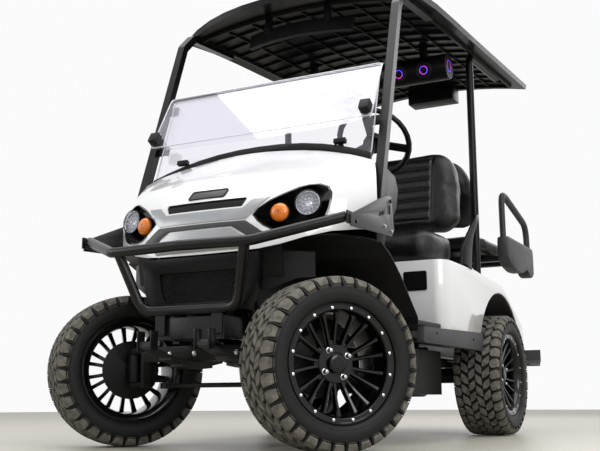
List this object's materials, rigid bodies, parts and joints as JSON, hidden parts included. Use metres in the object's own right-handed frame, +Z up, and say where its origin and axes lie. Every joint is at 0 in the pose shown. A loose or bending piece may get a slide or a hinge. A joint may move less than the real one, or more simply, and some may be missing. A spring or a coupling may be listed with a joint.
{
  "type": "golf cart",
  "caption": "Lifted electric golf cart with back-to-back seats, a roof on posts, a folded windscreen, a tube guard and steering front wheels.",
  "frame": {"origin": "on the floor under the middle of the cart", "axes": "-Y is the way the cart drives, +X its left side, +Z up"},
  "size_m": [1.4572, 2.9537, 2.104],
  "materials": {
    "white_paint": "gloss",
    "silver_trim": "satin",
    "dark_plastic": "moulded",
    "grey_plastic": "moulded",
    "black_steel": "satin powder coat",
    "grey_steel": "satin powder coat",
    "axle_steel": "painted",
    "spring_steel": "satin",
    "gloss_black": "gloss",
    "tyre_rubber": "matte",
    "black_rubber": "matte",
    "clear_screen": "clear",
    "lamp_lens": "clear",
    "amber_lens": "clear",
    "red_lens": "clear",
    "mirror_glass": "polished",
    "seat_vinyl": "pleated"
  },
  "bodies": {
    "chassis": {"chassis_frame": "black_steel", "front_axle": "axle_steel", "rear_axle": "axle_steel", "leaf_springs": "spring_steel", "dampers": "black_steel", "battery_block": "dark_plastic", "underfloor_box": "dark_plastic", "front_cowl": "white_paint", "lamp_pockets": "dark_plastic", "headlamps": "lamp_lens", "turn_lamps": "amber_lens", "grille": "dark_plastic", "nose_trim": "silver_trim", "nose_accent": "grey_plastic", "nose_fascia": "dark_plastic", "brush_guard": "black_steel", "front_flares": "dark_plastic", "windshield_lower": "clear_screen", "windshield_upper": "clear_screen", "windshield_fittings": "black_rubber", "front_struts": "black_steel", "strut_brackets": "grey_steel", "rear_struts": "black_steel", "roof": "dark_plastic", "roof_mirror": "mirror_glass", "soundbar": "dark_plastic", "rear_roof_box": "dark_plastic", "floor_pan": "black_rubber", "dashboard": "dark_plastic", "steering_column": "dark_plastic", "pedals": "black_rubber", "rear_body": "white_paint", "rocker_panels": "grey_plastic", "seat_bottom": "seat_vinyl", "seat_back": "seat_vinyl", "rear_seat_bottom": "seat_vinyl", "rear_seat_back": "seat_vinyl", "rear_seat_frame": "black_steel", "hip_restraints": "grey_plastic", "rear_arm_frames": "grey_plastic", "footplate": "grey_plastic", "tail_lamps": "red_lens"},
    "knuckle_left_body": {"knuckle_left": "axle_steel"},
    "knuckle_right_body": {"knuckle_right": "axle_steel"},
    "tie_rod_body": {"tie_rod": "spring_steel"},
    "steering_wheel_body": {"steering_wheel": "black_rubber"},
    "wheel_front_left": {"tyre_front_left": "tyre_rubber", "rim_front_left": "gloss_black"},
    "wheel_front_right": {"tyre_front_right": "tyre_rubber", "rim_front_right": "gloss_black"},
    "wheel_rear_left": {"tyre_rear_left": "tyre_rubber", "rim_rear_left": "gloss_black"},
    "wheel_rear_right": {"tyre_rear_right": "tyre_rubber", "rim_rear_right": "gloss_black"}
  },
  "joints": [
    {"name": "steer_left", "type": "hinge", "parent": "chassis", "child": "knuckle_left_body", "pos_m": [0.381, -1.113, 0.292], "axis": [0, 0, 1], "range_deg": [0, 72]},
    {"name": "steer_right", "type": "hinge", "parent": "chassis", "child": "knuckle_right_body", "pos_m": [-0.381, -1.113, 0.292], "axis": [0, 0, 1], "range_deg": [0, 72]},
    {"name": "tie_rod_pivot", "type": "hinge", "parent": "knuckle_left_body", "child": "tie_rod_body", "pos_m": [0.45153, -1.01592, 0.231], "axis": [0, 0, 1], "range_deg": [-72, 0]},
    {"name": "steering_wheel_turn", "type": "hinge", "parent": "chassis", "child": "steering_wheel_body", "pos_m": [0.32, -0.37, 1.285], "axis": [0, 0.7431, 0.6691], "range_deg": [0, 576]},
    {"name": "roll_front_left", "type": "hinge", "parent": "knuckle_left_body", "child": "wheel_front_left", "pos_m": [0.47889, -1.18412, 0.292], "axis": [0.809, -0.5878, 0], "continuous": true},
    {"name": "roll_front_right", "type": "hinge", "parent": "knuckle_right_body", "child": "wheel_front_right", "pos_m": [-0.47889, -1.04188, 0.292], "axis": [0.809, -0.5878, 0], "continuous": true},
    {"name": "roll_rear_left", "type": "hinge", "parent": "chassis", "child": "wheel_rear_left", "pos_m": [0.538, 0.567, 0.292], "axis": [1, 0, 0], "continuous": true},
    {"name": "roll_rear_right", "type": "hinge", "parent": "chassis", "child": "wheel_rear_right", "pos_m": [-0.538, 0.567, 0.292], "axis": [1, 0, 0], "continuous": true}
  ],
  "couplings": [
    {"joint": "steer_right", "follows": "steer_left", "ratio": 1},
    {"joint": "tie_rod_pivot", "follows": "steer_left", "ratio": -1},
    {"joint": "steering_wheel_turn", "follows": "steer_left", "ratio": 8}
  ]
}
